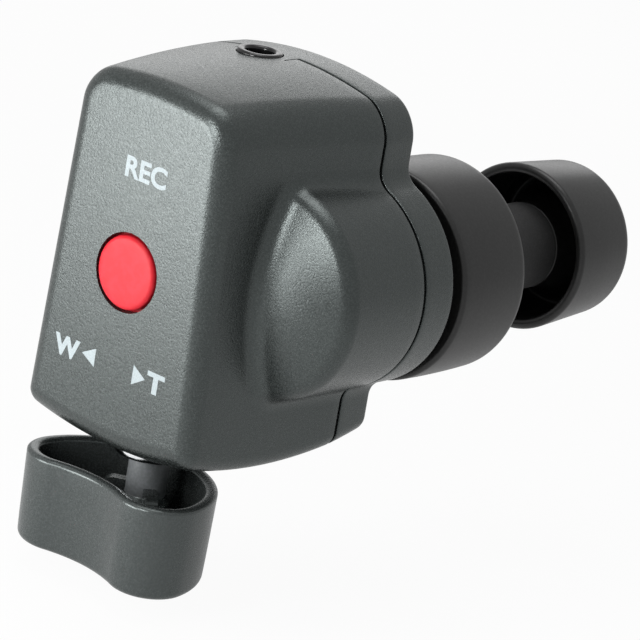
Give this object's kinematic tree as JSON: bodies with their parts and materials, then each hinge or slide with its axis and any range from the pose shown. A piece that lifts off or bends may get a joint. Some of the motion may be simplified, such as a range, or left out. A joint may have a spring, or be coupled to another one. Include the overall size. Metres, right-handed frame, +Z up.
{
  "type": "zoom demand",
  "caption": "Handle-mounted camera zoom control: moulded housing with a record button, a spring-centred twist grip, a jack and a knob that clamps it on a pan bar.",
  "frame": {"origin": "centre of the mouth of the pan-bar socket, in the left side of the housing", "axes": "+X into the socket and to the right across the face, +Y from the face back along the twist grip, +Z up"},
  "size_m": [0.0582, 0.1023, 0.0868],
  "materials": {
    "housing_plastic": "fine spark-textured charcoal",
    "satin_black_plastic": "satin black",
    "soft_black_rubber": "matt",
    "red_plastic": "satin red",
    "chrome_plate": "bright plated",
    "steel": "turned",
    "brass": "turned",
    "board_laminate": "green solder mask",
    "nylon": "natural",
    "black_moulding": "moulded black"
  },
  "bodies": {
    "housing": {"front_shell": "housing_plastic", "rear_shell": "housing_plastic", "rec_switch": "black_moulding", "main_board": "board_laminate", "jack_collar": "satin_black_plastic", "jack_body": "black_moulding", "clamp_sleeve": "black_moulding", "clamp_insert": "chrome_plate", "sensor_body": "steel", "sensor_bracket": "steel", "sensor_nut": "brass", "centring_spring": "steel", "rear_bushing": "brass", "board_screw_1": "steel", "board_screw_2": "steel", "bracket_screw_1": "steel", "bracket_screw_2": "steel", "shell_screw_1": "steel", "shell_screw_2": "steel", "shell_screw_3": "steel", "shell_screw_4": "steel"},
    "record_key": {"rec_button": "red_plastic", "rec_plunger": "nylon"},
    "zoom_grip": {"grip_shaft": "steel", "centring_arm": "nylon", "shaft_clip": "steel", "twist_ring": "satin_black_plastic", "grip_neck": "soft_black_rubber", "end_knob": "satin_black_plastic", "knob_nut": "brass"},
    "clamp_lift": {"clamp_pad": "nylon"},
    "clamp_screw": {"clamp_stud": "steel", "clamp_knob": "housing_plastic"}
  },
  "joints": [
    {"name": "zoom_twist", "type": "hinge", "parent": "housing", "child": "zoom_grip", "pos_m": [0.0362, 0.0315, 0.0182], "axis": [0, 1, 0], "range_deg": [-30, 30], "stiffness_Nm_per_rad": 0.04},
    {"name": "record_press", "type": "slide", "parent": "housing", "child": "record_key", "axis": [0, 1, 0], "range_m": [0, 0.001], "stiffness_N_per_m": 1500},
    {"name": "clamp_slide", "type": "slide", "parent": "housing", "child": "clamp_lift", "axis": [0, 0, -1], "range_m": [0, 0.002]},
    {"name": "clamp_spin", "type": "hinge", "parent": "clamp_lift", "child": "clamp_screw", "pos_m": [0.019, 0, -0.0218], "axis": [0, 0, -1], "range_deg": [0, 720]}
  ],
  "couplings": [
    {"joint": "clamp_slide", "follows": "clamp_spin", "m_per_rad": 0.00015915}
  ]
}
